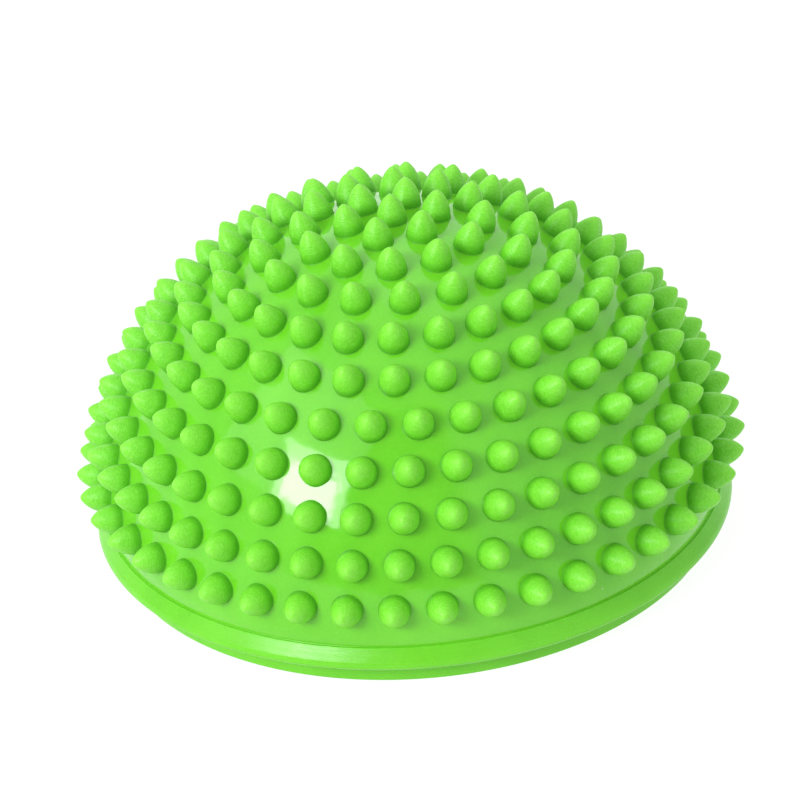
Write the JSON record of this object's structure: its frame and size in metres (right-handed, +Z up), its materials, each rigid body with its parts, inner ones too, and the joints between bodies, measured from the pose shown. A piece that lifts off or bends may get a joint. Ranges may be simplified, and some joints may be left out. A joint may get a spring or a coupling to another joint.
{
  "type": "balance pad",
  "caption": "Air-filled soft half-ball balance pad on a flat skirted base, its dome covered with blunt massage nubs, with a pull-out inflation plug underneath.",
  "frame": {"origin": "centre of the base disc's resting plane, on the dome's vertical axis", "axes": "+Z up through the crown of the dome; +X to the right seen from the front; the round pad has no front of its own"},
  "size_m": [0.1668, 0.1668, 0.0886],
  "materials": {
    "dome_vinyl": "glossy moulded soft vinyl, satin on the nubs",
    "base_vinyl": "satin moulded soft vinyl",
    "valve_vinyl": "matte soft vinyl",
    "plug_plastic": "satin moulded plastic"
  },
  "bodies": {
    "pad": {"spiked_dome": "dome_vinyl", "base_disc": "base_vinyl", "valve_seat": "valve_vinyl"},
    "plug": {"valve_plug": "plug_plastic"}
  },
  "joints": [
    {"name": "plug_pull", "type": "slide", "parent": "pad", "child": "plug", "axis": [0, 0, -1], "range_m": [0, 0.02]}
  ]
}
